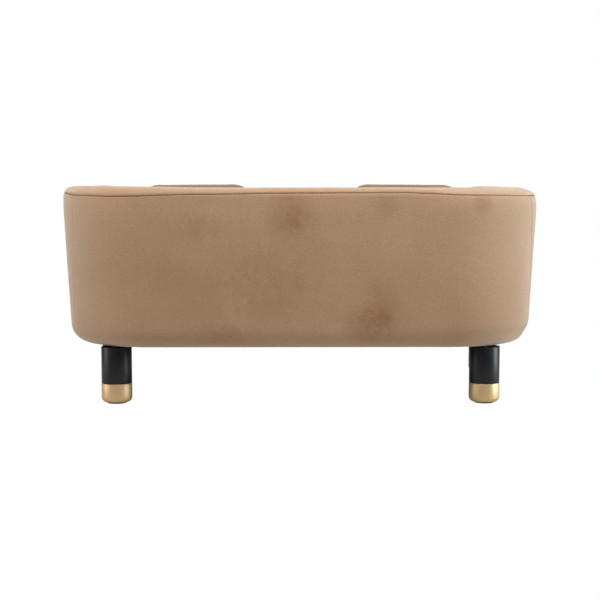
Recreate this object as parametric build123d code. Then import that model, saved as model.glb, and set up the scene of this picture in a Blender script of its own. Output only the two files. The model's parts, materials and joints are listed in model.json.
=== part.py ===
from build123d import *
import math
import os

# A small velvet pet sofa: one D-shaped padded wall round a loose seat cushion, two toss pillows
# and four turned legs. Millimetres, +Z up, front towards -Y, origin on the floor under the middle.

# Overall size
WIDTH = 760.0
DEPTH = 480.0
RIM_TOP = 337.0
CLOTH_BOTTOM = 90.0
WALL = 70.0
PLAN_RADIUS = 150.0

# Wall section: lean of the outer face and its roundings
LEAN_DEG = 3.2
WIDEST_BELOW_RIM = 30.0
BULGE_RADIUS = 220.0
BOTTOM_RADIUS = 31.0
RIM_RADIUS = 13.0
CROWN_RISE = 1.0
# Most that one flat facet of a hidden layer turns, in the section and round a corner in plan
FACET_DEG = 30.0
CORNER_FACET_DEG = 9.0

# Layers, counted inwards from the outer cloth
CLOTH = 1.5
WADDING = 8.0
BOARD = 3.0
INNER_FOAM = 19.5
RIM_BOARD = 12.0
RIM_FOAM = 19.0
OUTER_HEM = 16.0
WADDING_END = 34.0

# Base frame
RAIL_HEIGHT = 28.5
RAIL_REACH = 58.0
RAIL_CHAMFER = 17.0
FRONT_RAIL_WIDTH = 20.0
DECK = 9.0
BLOCK_REACH = 100.0
FRONT_BLOCK_LENGTH = 96.0
MIDDLE_RAIL_WIDTH = 20.0
DUST_COVER = 1.0
DUST_COVER_EDGE = 7.0
POST_WIDTH = 40.0
ARM_BOARD = 18.0
BACK_POST_INSET = 40.0
SIDE_POST_Y = -50.0

# Front of the arms and of the seat
ARM_PAD = 14.0
ARM_PAD_ROUNDING = 8.0
ARM_PAD_STEPS = 3
FRONT_RECESS = 2.0
FRONT_ROUNDING = 11.0
FRONT_FLANGE_TOP = 76.0
FRONT_FLANGE_UNDER = 30.0

# Legs: the back pair stands on the corner arcs, the front pair under the arms
LEG_RADIUS = 24.0
LEG_SIDES = 36
LEG_INSET = 46.0
LEG_BACK_TURN_DEG = 55.8
LEG_FRONT_Y_INSET = 60.0
TIP_TOP = 31.5
TIP_WALL = 1.2
TIP_ROUNDING = 6.0
TIP_STEPS = 2
SPIGOT_SIDES = 12
GLIDE_RADIUS = 15.0
GLIDE_SIDES = 24
GLIDE = 1.5
BOLT_RADIUS = 4.0
BOLT_IN_LEG = 30.0
BOLT_CLEARANCE = 0.5
TNUT_BARREL_RADIUS = 5.2
TNUT_BARREL = 9.0
TNUT_FLANGE_RADIUS = 11.0
TNUT_FLANGE = 1.5
FASTENER_SIDES = 8

# Seat cushion
CUSHION_SIDE_GAP = 2.0
CUSHION_BACK_GAP = 4.5
CUSHION_HEIGHT = 80.0
CUSHION_CROWN = 10.0
CUSHION_ROUNDING = 7.0
CUSHION_SIDE_DRAW = 0.01
CUSHION_FRONT_DRAW = 0.005
CUSHION_FRONT_RADIUS = 30.0
CUSHION_FRONT_RECESS = 4.0
CUSHION_CROWN_REACH = 60.0
CUSHION_CROWN_STEPS = 3
CUSHION_STEPS = (6, 3)
FILL_GAP = 0.2

# Zip in the back boxing of the seat cushion
ZIP_CORNER_GAP = 25.0
ZIP_TAPE = 14.0
ZIP_TAPE_THICK = 2.0
ZIP_CHAIN = 4.0
ZIP_CHAIN_RISE = 1.0
ZIP_CHAMFER = 0.5
ZIP_SLIDER_LENGTH = 10.0
ZIP_SLIDER_HEIGHT = 9.0
ZIP_SLIDER_WALL = 1.0
ZIP_SLIDER_CHAMFER = 2.0
ZIP_CLEARANCE = 0.25
ZIP_END = 12.0
ZIP_PULL_LENGTH = 16.0
ZIP_PULL_THICK = 0.8

# Toss pillows
PILLOW_WIDTH = 170.0
PILLOW_HEIGHT = 138.0
PILLOW_THICK = 62.0
PILLOW_CORNER = 20.0
PILLOW_DRAW = 0.012
PILLOW_COVER = 1.3
PILLOW_SIDE_GAP = 62.0
PILLOW_LEAN_DEG = 26.0
PILLOW_ROLL_DEG = 1.2
PILLOW_GAP = 0.4
PILLOW_FACE_REACH = 55.0
PILLOW_FACE_STEPS = 5
PILLOW_STEPS = (5, 4)
CORNER_GROWTH = 0.3
CORNER_LIMIT = 0.8
# Chords of each corner and each side in the hollows and fills
HOLLOW_STEPS = (3, 2)
# Times that a pillow is moved up to the wall, each nearer to its gap
SEATING_STEPS = 4

# Derived heights
RAIL_BOTTOM = CLOTH_BOTTOM + CLOTH
RAIL_TOP = RAIL_BOTTOM + RAIL_HEIGHT
DECK_TOP = RAIL_TOP + DECK
SEAT_BOTTOM = DECK_TOP + CLOTH
WIDEST_Z = RIM_TOP - WIDEST_BELOW_RIM
SEAM_Z = RIM_TOP - RIM_RADIUS - CROWN_RISE
RIM_BOARD_TOP = RIM_TOP - RIM_FOAM
RIM_BOARD_BOTTOM = RIM_BOARD_TOP - RIM_BOARD
DUST_BOTTOM = CLOTH_BOTTOM - DUST_COVER

# Derived places in plan; s counts inwards from the widest line of the wall
BACK_Y = DEPTH / 2
CORNER_X = WIDTH / 2 - PLAN_RADIUS
CORNER_Y = BACK_Y - PLAN_RADIUS
WALL_END_Y = -DEPTH / 2 + ARM_PAD
FRONT_Y = -DEPTH / 2 + FRONT_RECESS
INNER_X = WIDTH / 2 - WALL
BACK_POST_X = CORNER_X - BACK_POST_INSET
ZIP_LENGTH = 2 * (CORNER_X - ZIP_CORNER_GAP)
PILLOW_X = INNER_X - PILLOW_SIDE_GAP - PILLOW_WIDTH / 2
FRAME_S = CLOTH + WADDING + BOARD
INNER_BOARD_S = WALL - CLOTH - INNER_FOAM - BOARD
BOARD_BOTTOM = RAIL_BOTTOM + RAIL_CHAMFER
BLOCK_X = WIDTH / 2 - BLOCK_REACH
LEG_BACK_ARC = PLAN_RADIUS - LEG_INSET
LEG_BACK_X = CORNER_X + LEG_BACK_ARC * math.cos(math.radians(LEG_BACK_TURN_DEG))
LEG_BACK_Y = CORNER_Y + LEG_BACK_ARC * math.sin(math.radians(LEG_BACK_TURN_DEG))
LEG_FRONT_X = WIDTH / 2 - LEG_INSET
LEG_FRONT_Y = -DEPTH / 2 + LEG_FRONT_Y_INSET
LEG_PLACES = {
    "back_left": (-LEG_BACK_X, LEG_BACK_Y),
    "back_right": (LEG_BACK_X, LEG_BACK_Y),
    "front_left": (-LEG_FRONT_X, LEG_FRONT_Y),
    "front_right": (LEG_FRONT_X, LEG_FRONT_Y),
}
SIDES = {"left": -1, "right": 1}

os.makedirs("parts", exist_ok=True)


def save(name, shape):
    export_step(shape, f"parts/{name}.step")


# Arcs, whole or as a run of chords, and solids of flat facets


def arc_turn(centre, start, end):
    """Signed angle of the shorter way round centre from start to end."""
    first = math.atan2(start[1] - centre[1], start[0] - centre[0])
    last = math.atan2(end[1] - centre[1], end[0] - centre[0])
    return (last - first + math.pi) % math.tau - math.pi


def arc_points(centre, start, end, steps):
    radius = math.dist(centre, start)
    first = math.atan2(start[1] - centre[1], start[0] - centre[0])
    step_turn = arc_turn(centre, start, end) / steps
    angles = [first + step_turn * step for step in range(steps + 1)]
    return [(centre[0] + radius * math.cos(a), centre[1] + radius * math.sin(a)) for a in angles]


def bend(centre, start, end, steps=None):
    """The arc from start to end, or that many chords of it."""
    if steps is None:
        return ThreePointArc(start, arc_points(centre, start, end, 2)[1], end)
    return Polyline(*arc_points(centre, start, end, steps))


def quarter(steps):
    """A quarter circle as (share drawn in, share risen) in equal turns."""
    angles = [math.pi / 2 * step / steps for step in range(steps + 1)]
    return [(1 - math.cos(angle), math.sin(angle)) for angle in angles]


def flat_face(points):
    return Face(Wire.make_polygon(points))


def facet_loft(rings):
    """A solid of flat facets through rings of points, whose edges run parallel from ring to ring."""
    faces = [flat_face(rings[0]), flat_face(rings[-1])]
    for low, high in zip(rings, rings[1:]):
        for index in range(len(low)):
            faces.append(flat_face([low[index - 1], low[index], high[index], high[index - 1]]))
    return Solid(Shell(faces))


def ring_points(face):
    """The corner points of a flat face's outline, in order."""
    edges = face.face().outer_wire().order_edges()
    points = []
    for edge, following in zip(edges, edges[1:] + edges[:1]):
        ends = (following @ 0, following @ 1)
        points.append(min((edge @ 0, edge @ 1), key=lambda p: min((p - end).length for end in ends)))
    return points


# The wall's section


def section_keys():
    """Corner points of the cloth surface as (point, inward normal, centre of the arc to the next)."""
    lean = math.radians(LEAN_DEG)
    lean_normal = (math.cos(lean), math.sin(lean))
    bulge_centre = (BULGE_RADIUS, WIDEST_Z)
    bulge_start = (
        bulge_centre[0] - BULGE_RADIUS * lean_normal[0],
        bulge_centre[1] - BULGE_RADIUS * lean_normal[1],
    )
    bottom_z = CLOTH_BOTTOM + BOTTOM_RADIUS
    lean_foot_z = bottom_z - BOTTOM_RADIUS * lean_normal[1]
    lean_foot = (bulge_start[0] + (bulge_start[1] - lean_foot_z) * math.tan(lean), lean_foot_z)
    bottom_centre = (lean_foot[0] + BOTTOM_RADIUS * lean_normal[0], bottom_z)
    half = WALL / 2
    reach = half - RIM_RADIUS
    rise = RIM_RADIUS + CROWN_RISE
    crown_radius = (reach**2 / CROWN_RISE + RIM_RADIUS + rise) / 2
    crown_centre = (half, RIM_TOP - crown_radius)
    tilt = math.asin(reach / (crown_radius - RIM_RADIUS))
    crown_left = (math.sin(tilt), -math.cos(tilt))
    crown_right = (-crown_left[0], crown_left[1])
    outer_rim = (RIM_RADIUS, SEAM_Z)
    inner_rim = (WALL - RIM_RADIUS, SEAM_Z)
    return [
        ((bottom_centre[0], CLOTH_BOTTOM), (0, 1), bottom_centre),
        (lean_foot, lean_normal, None),
        (bulge_start, lean_normal, bulge_centre),
        ((0, WIDEST_Z), (1, 0), None),
        ((0, SEAM_Z), (1, 0), outer_rim),
        (
            (outer_rim[0] - RIM_RADIUS * crown_left[0], outer_rim[1] - RIM_RADIUS * crown_left[1]),
            crown_left,
            crown_centre,
        ),
        (
            (inner_rim[0] - RIM_RADIUS * crown_right[0], inner_rim[1] - RIM_RADIUS * crown_right[1]),
            crown_right,
            inner_rim,
        ),
        ((WALL, SEAM_Z), (-1, 0), None),
    ]


KEYS = section_keys()


def inward(point, normal, offset):
    return (point[0] + offset * normal[0], point[1] + offset * normal[1])


def wall_region(offset, smooth=False):
    """The whole section of the wall drawn in by offset, its roundings true arcs or chords."""
    edges = []
    for (p0, n0, centre), (p1, n1, _) in zip(KEYS, KEYS[1:]):
        start = inward(p0, n0, offset)
        end = inward(p1, n1, offset)
        if centre is None:
            edges.append(Line(start, end))
        elif smooth:
            edges.append(bend(centre, start, end))
        else:
            turn = math.degrees(abs(arc_turn(centre, start, end)))
            edges.append(bend(centre, start, end, math.ceil(turn / FACET_DEG)))
    first = inward(KEYS[0][0], KEYS[0][1], offset)
    last = inward(KEYS[-1][0], KEYS[-1][1], offset)
    edges.append(Polyline(last, (last[0], first[1]), first))
    return make_face(edges)


def window(s0, s1, z0, z1):
    return Pos((s0 + s1) / 2, (z0 + z1) / 2) * Rectangle(s1 - s0, z1 - z0)


def lean_s(z, offset):
    """Inset of the leaning face at height z, offset inwards and carried on straight."""
    foot, normal, _ = KEYS[1]
    point = inward(foot, normal, offset)
    return point[0] - (z - point[1]) * math.tan(math.radians(LEAN_DEG))


def rail_section(inner_s):
    low = (lean_s(RAIL_BOTTOM, FRAME_S), RAIL_BOTTOM)
    high = (lean_s(RAIL_TOP, FRAME_S), RAIL_TOP)
    face = make_face(Polyline(low, high, (inner_s, RAIL_TOP), (inner_s, RAIL_BOTTOM), close=True))
    corner = face.vertices().sort_by_distance((*low, 0))[0]
    return chamfer(corner, RAIL_CHAMFER)


# Sweeps of a section along the back, round a corner and along an arm


def side_plane(y, side):
    return Plane(origin=(side * WIDTH / 2, y, 0), x_dir=(-side, 0, 0), z_dir=(0, side, 0))


def back_run(face, x0, x1):
    plane = Plane(origin=(x0, BACK_Y, 0), x_dir=(0, -1, 0), z_dir=(-1, 0, 0))
    return extrude(plane * face, x1 - x0, dir=(1, 0, 0))


def side_run(face, y0, y1, side):
    return extrude(side_plane(y1, side) * face, y1 - y0, dir=(0, -1, 0))


def smooth_run(face):
    """The section carried along both arms and the back, with round corners."""
    body = back_run(face, -CORNER_X, CORNER_X)
    for side in SIDES.values():
        plane = Plane(origin=(side * CORNER_X, BACK_Y, 0), x_dir=(0, -1, 0), z_dir=(-1, 0, 0))
        axis = Axis((side * CORNER_X, CORNER_Y, 0), (0, 0, -side))
        body += revolve(plane * face, axis, revolution_arc=90)
        body += side_run(face, WALL_END_Y, CORNER_Y, side)
    return body


def corner_stations(side):
    """Places round one corner as (centre of the corner, outward angle), from left to right."""
    steps = math.ceil(90 / CORNER_FACET_DEG)
    turns = [math.pi / 2 * step / steps for step in range(steps + 1)]
    angles = [math.pi - turn if side < 0 else math.pi / 2 - turn for turn in turns]
    return [(side * CORNER_X, CORNER_Y, angle) for angle in angles]


def stations(end_y):
    corners = corner_stations(-1) + corner_stations(1)
    return [(-CORNER_X, end_y, math.pi)] + corners + [(CORNER_X, end_y, 0)]


def plan_point(station, s):
    x, y, angle = station
    reach = PLAN_RADIUS - s
    return (x + reach * math.cos(angle), y + reach * math.sin(angle))


def layer_run(face, places):
    """The section carried through the places, each corner a run of flat facets."""
    outline = ring_points(face)
    return facet_loft([[(*plan_point(place, p.X), p.Y) for p in outline] for place in places])


def plan_layer(front_y, levels):
    """A D-shaped layer through (inset, z) levels, its corners in flat facets."""
    return facet_loft([[(*plan_point(place, s), z) for place in stations(front_y)] for s, z in levels])


def plan_board(inset, front_y, z0, z1):
    """A flat D-shaped board with round corners whose edge lies inset from the widest line."""
    half = WIDTH / 2 - inset
    back = BACK_Y - inset
    face = Pos(0, (back + front_y) / 2) * Rectangle(2 * half, back - front_y)
    corners = face.vertices().sort_by(Axis.Y)[-2:]
    face = fillet(corners, PLAN_RADIUS - inset)
    return extrude(Pos(0, 0, z0) * face, z1 - z0)


def box_between(x0, x1, y0, y1, z0, z1):
    centre = ((x0 + x1) / 2, (y0 + y1) / 2, (z0 + z1) / 2)
    return Pos(*centre) * Box(x1 - x0, y1 - y0, z1 - z0)


def turned(profile, sides):
    """An upright many-sided solid through (radius, z) levels."""
    turns = [math.tau * step / sides for step in range(sides)]
    return facet_loft([[(r * math.cos(a), r * math.sin(a), z) for a in turns] for r, z in profile])


def fastener(x, y, radius, z0, z1):
    return Pos(x, y, 0) * turned([(radius, z0), (radius, z1)], FASTENER_SIDES)


def group(solids):
    return Compound(children=[solid for item in solids for solid in item.solids()])


def cut_all(body, tools):
    for tool in tools:
        body -= tool
    return body


outer_region = wall_region(0, smooth=True)
lined_region = wall_region(CLOTH)
board_region = wall_region(CLOTH + WADDING)
frame_region = wall_region(FRAME_S)
whole_run = stations(WALL_END_Y)
hem_s = KEYS[0][0][0] + OUTER_HEM

# Hanger bolts, T-nuts and the holes they sit in
tnut_bottom = RAIL_TOP - TNUT_FLANGE - TNUT_BARREL
tnut_shoulder = RAIL_TOP - TNUT_FLANGE
bolt_bottom = DUST_BOTTOM - BOLT_IN_LEG
bolts = []
tnuts = []
tnut_seats = []
bolt_holes = []
for x, y in LEG_PLACES.values():
    bolts.append(fastener(x, y, BOLT_RADIUS, bolt_bottom, tnut_shoulder))
    barrel = fastener(x, y, TNUT_BARREL_RADIUS, tnut_bottom, tnut_shoulder)
    flange = fastener(x, y, TNUT_FLANGE_RADIUS, tnut_shoulder, RAIL_TOP)
    bore = fastener(x, y, BOLT_RADIUS, tnut_bottom, RAIL_TOP)
    tnuts.append(barrel + flange - bore)
    tnut_seats.append(barrel + flange)
    bolt_holes.append(fastener(x, y, BOLT_RADIUS + BOLT_CLEARANCE, DUST_BOTTOM, tnut_bottom))
save("hanger_bolts", group(bolts))
save("t_nuts", group(tnuts))

# Base frame
rail_face = rail_section(RAIL_REACH)
block_face = rail_section(BLOCK_REACH)
block_end_y = WALL_END_Y + FRONT_BLOCK_LENGTH
for name, side in SIDES.items():
    back_block = layer_run(block_face, corner_stations(side))
    front_block = side_run(block_face, WALL_END_Y, block_end_y, side)
    save(f"leg_block_back_{name}", cut_all(back_block, tnut_seats + bolt_holes))
    save(f"leg_block_front_{name}", cut_all(front_block, tnut_seats + bolt_holes))
    save(f"side_rail_{name}", side_run(rail_face, block_end_y, CORNER_Y, side))
save("back_rail", back_run(rail_face, -CORNER_X, CORNER_X))
front_rail_back = WALL_END_Y + FRONT_RAIL_WIDTH
front_rail = box_between(-BLOCK_X, BLOCK_X, WALL_END_Y, front_rail_back, RAIL_BOTTOM, RAIL_TOP)
save("front_rail", front_rail)
middle_rail = box_between(
    -MIDDLE_RAIL_WIDTH / 2,
    MIDDLE_RAIL_WIDTH / 2,
    front_rail_back,
    BACK_Y - RAIL_REACH,
    RAIL_BOTTOM,
    RAIL_TOP,
)
save("middle_rail", middle_rail)

deck_levels = [(lean_s(z, FRAME_S), z) for z in (RAIL_TOP, DECK_TOP)]
save("seat_deck", plan_layer(WALL_END_Y, deck_levels))

# Wall frame: posts, arm front boards, rim board and the two bent boards
post_face = frame_region & window(0, INNER_BOARD_S, DECK_TOP, RIM_BOARD_BOTTOM)
half_post = POST_WIDTH / 2
for name, x in {"left": -BACK_POST_X, "centre": 0, "right": BACK_POST_X}.items():
    save(f"back_post_{name}", back_run(post_face, x - half_post, x + half_post))
for name, side in SIDES.items():
    post = side_run(post_face, SIDE_POST_Y - half_post, SIDE_POST_Y + half_post, side)
    save(f"side_post_{name}", post)
    save(f"arm_board_{name}", side_run(post_face, WALL_END_Y, WALL_END_Y + ARM_BOARD, side))
rim_board_face = frame_region & window(0, INNER_BOARD_S, RIM_BOARD_BOTTOM, RIM_BOARD_TOP)
save("rim_board", layer_run(rim_board_face, whole_run))
board_split = (BOARD_BOTTOM + WIDEST_Z) / 2
outer_board_face = (board_region - frame_region) & window(0, WALL / 2, board_split, RIM_BOARD_TOP)
outer_board_face += make_face(
    Polyline(
        (lean_s(BOARD_BOTTOM, CLOTH + WADDING), BOARD_BOTTOM),
        (lean_s(board_split, CLOTH + WADDING), board_split),
        (lean_s(board_split, FRAME_S), board_split),
        (lean_s(BOARD_BOTTOM, FRAME_S), BOARD_BOTTOM),
        close=True,
    )
)
save("outer_board", layer_run(outer_board_face, whole_run))
inner_board_face = window(INNER_BOARD_S, INNER_BOARD_S + BOARD, DECK_TOP, RIM_BOARD_TOP)
save("inner_board", layer_run(inner_board_face, whole_run))

# Padding
wadding_face = (lined_region - board_region) & window(0, WADDING_END, 0, RIM_BOARD_TOP)
save("outer_wadding", layer_run(wadding_face - outer_board_face - block_face, whole_run))
foam_face = lined_region & window(INNER_BOARD_S + BOARD, WALL, DECK_TOP, RIM_BOARD_TOP)
save("inner_foam", layer_run(foam_face, whole_run))
rim_foam_face = lined_region & window(0, WALL, RIM_BOARD_TOP, RIM_TOP)
save("rim_foam", layer_run(rim_foam_face, whole_run))

# Velvet over the wall: outer face and underside, rim band, inner face
lined_run = layer_run(lined_region, stations(WALL_END_Y))
outer_cover = smooth_run(outer_region & window(0, hem_s, 0, SEAM_Z)) - lined_run
save("outer_cover", cut_all(outer_cover, bolt_holes))
save("rim_cover", smooth_run(outer_region & window(0, WALL, SEAM_Z, RIM_TOP)) - lined_run)
save("inner_cover", smooth_run(outer_region & window(hem_s, WALL, DECK_TOP, SEAM_Z)) - lined_run)


# Padded fronts of the arms


def arm_pad_levels(offset):
    """(Draw-in, y) from the end of the wall to the front face, rolled in over the last stretch."""
    radius = ARM_PAD_ROUNDING - offset
    straight = WALL_END_Y - ARM_PAD + ARM_PAD_ROUNDING
    rolled = [(offset + radius * share, straight - radius * rise) for share, rise in quarter(ARM_PAD_STEPS)]
    return [(offset, WALL_END_Y)] + rolled


for name, side in SIDES.items():
    planes = [(side_plane(y, side), drawn) for drawn, y in arm_pad_levels(CLOTH)]
    rings = [ring_points(plane * wall_region(drawn)) for plane, drawn in planes]
    pad_foam = facet_loft(rings)
    save(f"arm_front_foam_{name}", pad_foam)
    planes = [(side_plane(y, side), drawn) for drawn, y in arm_pad_levels(0)]
    pad = loft([plane * wall_region(drawn, smooth=True) for plane, drawn in planes], ruled=True)
    save(f"arm_front_cover_{name}", pad - pad_foam)


# Front of the seat: foam and velvet over the front rail, turned under and over the deck


def front_region(offset):
    depth = FRONT_FLANGE_TOP - offset
    face = window(offset, offset + depth, CLOTH_BOTTOM + offset, SEAT_BOTTOM - offset)
    return fillet(face.vertices().sort_by(Axis.X)[:2], FRONT_ROUNDING - offset)


def front_run(face):
    plane = Plane(origin=(-INNER_X, FRONT_Y, 0), x_dir=(0, 1, 0), z_dir=(1, 0, 0))
    return extrude(plane * face, 2 * INNER_X, dir=(1, 0, 0))


front_pad = WALL_END_Y - FRONT_Y
front_ring = front_region(0) - front_region(CLOTH)
under_flange = window(FRONT_FLANGE_UNDER, FRONT_FLANGE_TOP, 0, RAIL_TOP)
save("front_cover", front_run(front_ring - under_flange))
save("front_foam", front_run(front_region(CLOTH) & window(0, front_pad, 0, SEAT_BOTTOM)))
save("deck_cloth", plan_board(WALL, FRONT_Y + FRONT_FLANGE_TOP, DECK_TOP, SEAT_BOTTOM))

# Dust cover under the base
dust_s = KEYS[0][0][0] + DUST_COVER_EDGE
dust_cover = plan_board(dust_s, WALL_END_Y + DUST_COVER_EDGE, DUST_BOTTOM, CLOTH_BOTTOM)
save("dust_cover", cut_all(dust_cover, bolt_holes))

# Legs: turned wood with a spigot in a metal tip, and a glide under each
spigot_radius = LEG_RADIUS - TIP_WALL * 2
tip_floor = GLIDE + TIP_WALL * 2
spigot = turned([(spigot_radius, tip_floor), (spigot_radius, TIP_TOP)], SPIGOT_SIDES)
leg = turned([(LEG_RADIUS, TIP_TOP), (LEG_RADIUS, DUST_BOTTOM)], LEG_SIDES) + spigot
leg -= fastener(0, 0, BOLT_RADIUS, bolt_bottom, DUST_BOTTOM)
tip_levels = [
    (LEG_RADIUS - TIP_ROUNDING * (1 - rise), GLIDE + TIP_ROUNDING * share)
    for share, rise in quarter(TIP_STEPS)
]
tip = turned(tip_levels + [(LEG_RADIUS, TIP_TOP)], LEG_SIDES) - spigot
glide = turned([(GLIDE_RADIUS, 0), (GLIDE_RADIUS, GLIDE)], GLIDE_SIDES)
for name, (x, y) in LEG_PLACES.items():
    save(f"leg_{name}", Pos(x, y, 0) * leg)
    save(f"leg_tip_{name}", Pos(x, y, 0) * tip)
save("glides", group([Pos(x, y, 0) * glide for x, y in LEG_PLACES.values()]))


# Soft forms: flat-faceted lofts through outlines with drawn-in sides


def soft_ring(half_x, front, back, front_radius, back_radius, draws, steps):
    """Points of a rounded outline whose sides curve inwards by a share of their own length."""
    corner_steps, side_steps = steps
    corners = []
    for right, behind in ((1, 1), (-1, 1), (-1, -1), (1, -1)):
        radius = back_radius if behind > 0 else front_radius
        level = back if behind > 0 else front
        centre = (right * (half_x - radius), level - behind * radius)
        beside = (centre[0] + right * radius, centre[1])
        ahead = (centre[0], centre[1] + behind * radius)
        ends = (beside, ahead) if right == behind else (ahead, beside)
        corners.append((centre, *ends))
    points = []
    for index, (centre, start, end) in enumerate(corners):
        points += arc_points(centre, start, end, corner_steps)
        following = corners[(index + 1) % len(corners)][1]
        share = draws[index]
        if share > 0:
            middle = ((end[0] + following[0]) / 2, (end[1] + following[1]) / 2)
            length = math.dist(end, following)
            away = ((following[1] - end[1]) / length, (end[0] - following[0]) / length)
            reach = length * (1 / (8 * share) - share / 2)
            bend_centre = (middle[0] + away[0] * reach, middle[1] + away[1] * reach)
            points += arc_points(bend_centre, end, following, side_steps)[1:-1]
    return points


# Seat cushion: flat below where it rests, boxed sides, crowned top
cushion_back = BACK_Y - WALL - CUSHION_BACK_GAP
cushion_half = INNER_X - CUSHION_SIDE_GAP
cushion_front = FRONT_Y + CUSHION_FRONT_RECESS
cushion_back_radius = PLAN_RADIUS - WALL - CUSHION_SIDE_GAP
boxing_top = CUSHION_HEIGHT - CUSHION_CROWN


def cushion_solid(inset, steps):
    """The cushion drawn in by inset on every side."""
    levels = [(CUSHION_ROUNDING, inset), (0, CUSHION_ROUNDING)]
    for share, rise in quarter(CUSHION_CROWN_STEPS):
        levels.append((share * CUSHION_CROWN_REACH, boxing_top + rise * (CUSHION_CROWN - inset)))
    draws = (0, CUSHION_SIDE_DRAW, CUSHION_FRONT_DRAW, CUSHION_SIDE_DRAW)
    rings = []
    for edge, z in levels:
        total = edge + inset
        front_radius = CUSHION_FRONT_RADIUS - inset + edge * CORNER_GROWTH
        back_radius = cushion_back_radius - total * CORNER_GROWTH
        ring = soft_ring(
            cushion_half - total,
            cushion_front + total,
            cushion_back - total,
            front_radius,
            back_radius,
            draws,
            steps,
        )
        rings.append([(x, y, SEAT_BOTTOM + z) for x, y in ring])
    return facet_loft(rings)


cushion_outer = cushion_solid(0, CUSHION_STEPS)
cushion_hollow = cushion_solid(CLOTH, HOLLOW_STEPS)
cushion_foam = cushion_solid(CLOTH + FILL_GAP, HOLLOW_STEPS)

# Zip, let into the straight back boxing
zip_z = SEAT_BOTTOM + boxing_top / 2
zip_half = ZIP_LENGTH / 2
tape_in = cushion_back - ZIP_TAPE_THICK
tape_low = zip_z - ZIP_TAPE / 2
tape_high = zip_z + ZIP_TAPE / 2
zip_seat = box_between(-zip_half, zip_half, tape_in, cushion_back + CLOTH, tape_low, tape_high)
zip_tape = box_between(-zip_half, zip_half, tape_in, cushion_back, tape_low, tape_high)
chain_low = zip_z - ZIP_CHAIN / 2
chain_high = zip_z + ZIP_CHAIN / 2
chain_out = cushion_back + ZIP_CHAIN_RISE
chain = box_between(-zip_half, zip_half, cushion_back, chain_out, chain_low, chain_high)
chain = chamfer(chain.edges().filter_by(Axis.X).group_by(Axis.Y)[-1], ZIP_CHAMFER)
save("zip_tape", zip_tape + chain)
save("cushion_cover", cushion_outer - cushion_hollow - zip_seat)
save("cushion_foam", cushion_foam - zip_seat)

# The slider bridges the chain with a running clearance and starts at the closed end
slider_x0 = zip_half - ZIP_END - ZIP_SLIDER_LENGTH
slider_x1 = zip_half - ZIP_END
slider_y0 = cushion_back + ZIP_CLEARANCE
slider_y1 = chain_out + ZIP_CLEARANCE + ZIP_SLIDER_WALL
slider_z0 = zip_z - ZIP_SLIDER_HEIGHT / 2
slider_z1 = zip_z + ZIP_SLIDER_HEIGHT / 2
slider = box_between(slider_x0, slider_x1, slider_y0, slider_y1, slider_z0, slider_z1)
slider = chamfer(slider.edges().filter_by(Axis.Y), ZIP_SLIDER_CHAMFER)
slider -= box_between(
    slider_x0,
    slider_x1,
    cushion_back,
    chain_out + ZIP_CLEARANCE,
    chain_low - ZIP_CLEARANCE,
    chain_high + ZIP_CLEARANCE,
)
pull_half = ZIP_SLIDER_HEIGHT / 4
pull_x = (slider_x0 + slider_x1) / 2
pull = box_between(
    pull_x - pull_half,
    pull_x + pull_half,
    slider_y1,
    slider_y1 + ZIP_PULL_THICK,
    zip_z - ZIP_PULL_LENGTH,
    zip_z + pull_half,
)
pull = chamfer(pull.edges().filter_by(Axis.Y), pull_half / 2)
save("zip_slider", slider + pull)


# Toss pillows: two domed faces that meet in a drawn-in knife edge


def pillow_solid(edge_inset, face_inset, steps):
    half_thick = PILLOW_THICK / 2 - face_inset
    levels = quarter(PILLOW_FACE_STEPS)
    levels = [(share, -rise) for share, rise in levels[:0:-1]] + levels
    rings = []
    for share, rise in levels:
        inset = edge_inset + share * PILLOW_FACE_REACH
        half_x = PILLOW_WIDTH / 2 - inset
        half_y = PILLOW_HEIGHT / 2 - inset
        corner = min(PILLOW_CORNER + inset * CORNER_GROWTH, half_y * CORNER_LIMIT)
        ring = soft_ring(half_x, -half_y, half_y, corner, corner, [PILLOW_DRAW] * 4, steps)
        rings.append([(x, y, rise * half_thick) for x, y in ring])
    return facet_loft(rings)


wall_cloth = smooth_run(outer_region & window(WALL / 2, WALL, SEAM_Z - WALL, RIM_TOP))
seat_top = SEAT_BOTTOM + CUSHION_HEIGHT
for name, side in SIDES.items():
    turn = Rot(90 - PILLOW_LEAN_DEG, 0, 0) * Rot(0, 0, -side * PILLOW_ROLL_DEG)
    shell = turn * pillow_solid(0, 0, PILLOW_STEPS)
    hollow = turn * pillow_solid(2 * PILLOW_COVER, PILLOW_COVER, HOLLOW_STEPS)
    fill_edge = 2 * PILLOW_COVER + FILL_GAP
    fill = turn * pillow_solid(fill_edge, PILLOW_COVER + FILL_GAP, HOLLOW_STEPS)
    box = shell.bounding_box()
    place = Pos(side * PILLOW_X, BACK_Y - WALL - box.max.Y, seat_top + PILLOW_GAP - box.min.Z)
    for _ in range(SEATING_STEPS):
        gap = (place * shell).distance_to(wall_cloth)
        place = Pos(0, gap - PILLOW_GAP, 0) * place
    save(f"pillow_cover_{name}", place * (shell - hollow))
    save(f"pillow_fill_{name}", place * fill)
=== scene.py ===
import bpy
import bmesh
import json
import math
from mathutils import Matrix, Vector, noise
from mathutils.bvhtree import BVHTree


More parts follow.
